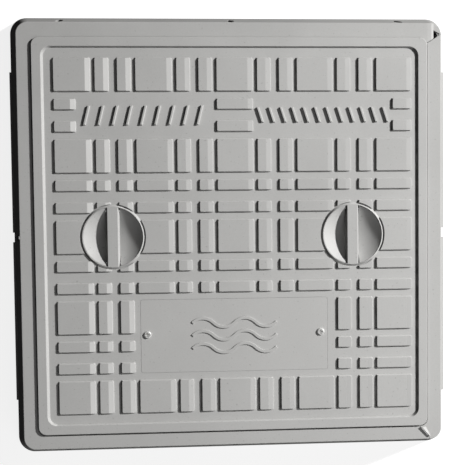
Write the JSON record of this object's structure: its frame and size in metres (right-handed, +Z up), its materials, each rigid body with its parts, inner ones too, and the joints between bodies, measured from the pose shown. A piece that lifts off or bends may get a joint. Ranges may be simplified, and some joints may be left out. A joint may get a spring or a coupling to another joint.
{
  "type": "square plastic chamber cover and frame",
  "caption": "Square moulded plastic inspection cover with recessed finger cups and a raised plaid tread, seated in a hollow frame with a sloping skirt.",
  "frame": {"origin": "centre of the frame's underside, on the surface that it stands on", "axes": "+Z up out of the lid's top face; +X towards the side of the frame with the separate rail; +Y away from the side with the name plate"},
  "size_m": [0.4572, 0.4572, 0.0474],
  "materials": {
    "frame_plastic": "satin moulded plastic",
    "lid_plastic": "satin moulded plastic",
    "cup_plastic": "satin moulded plastic",
    "plate_plastic": "satin moulded plastic",
    "seal_rubber": "matte rubber",
    "screw_steel": "zinc plated"
  },
  "bodies": {
    "frame": {"frame_body": "frame_plastic", "frame_right_rail": "frame_plastic", "seat_seal": "seal_rubber", "rail_screw_1": "screw_steel", "rail_screw_2": "screw_steel", "rail_screw_3": "screw_steel", "rail_screw_4": "screw_steel"},
    "lid_assembly": {"lid": "lid_plastic", "left_handle_cup": "cup_plastic", "right_handle_cup": "cup_plastic", "name_plate": "plate_plastic", "name_plate_screw_left": "screw_steel", "name_plate_screw_right": "screw_steel", "left_cup_screw_1": "screw_steel", "left_cup_screw_2": "screw_steel", "left_cup_screw_3": "screw_steel", "left_cup_screw_4": "screw_steel", "right_cup_screw_1": "screw_steel", "right_cup_screw_2": "screw_steel", "right_cup_screw_3": "screw_steel", "right_cup_screw_4": "screw_steel"}
  },
  "joints": [
    {"name": "lid_lift", "type": "slide", "parent": "frame", "child": "lid_assembly", "axis": [0, 0, 1], "range_m": [0, 0.15]}
  ]
}
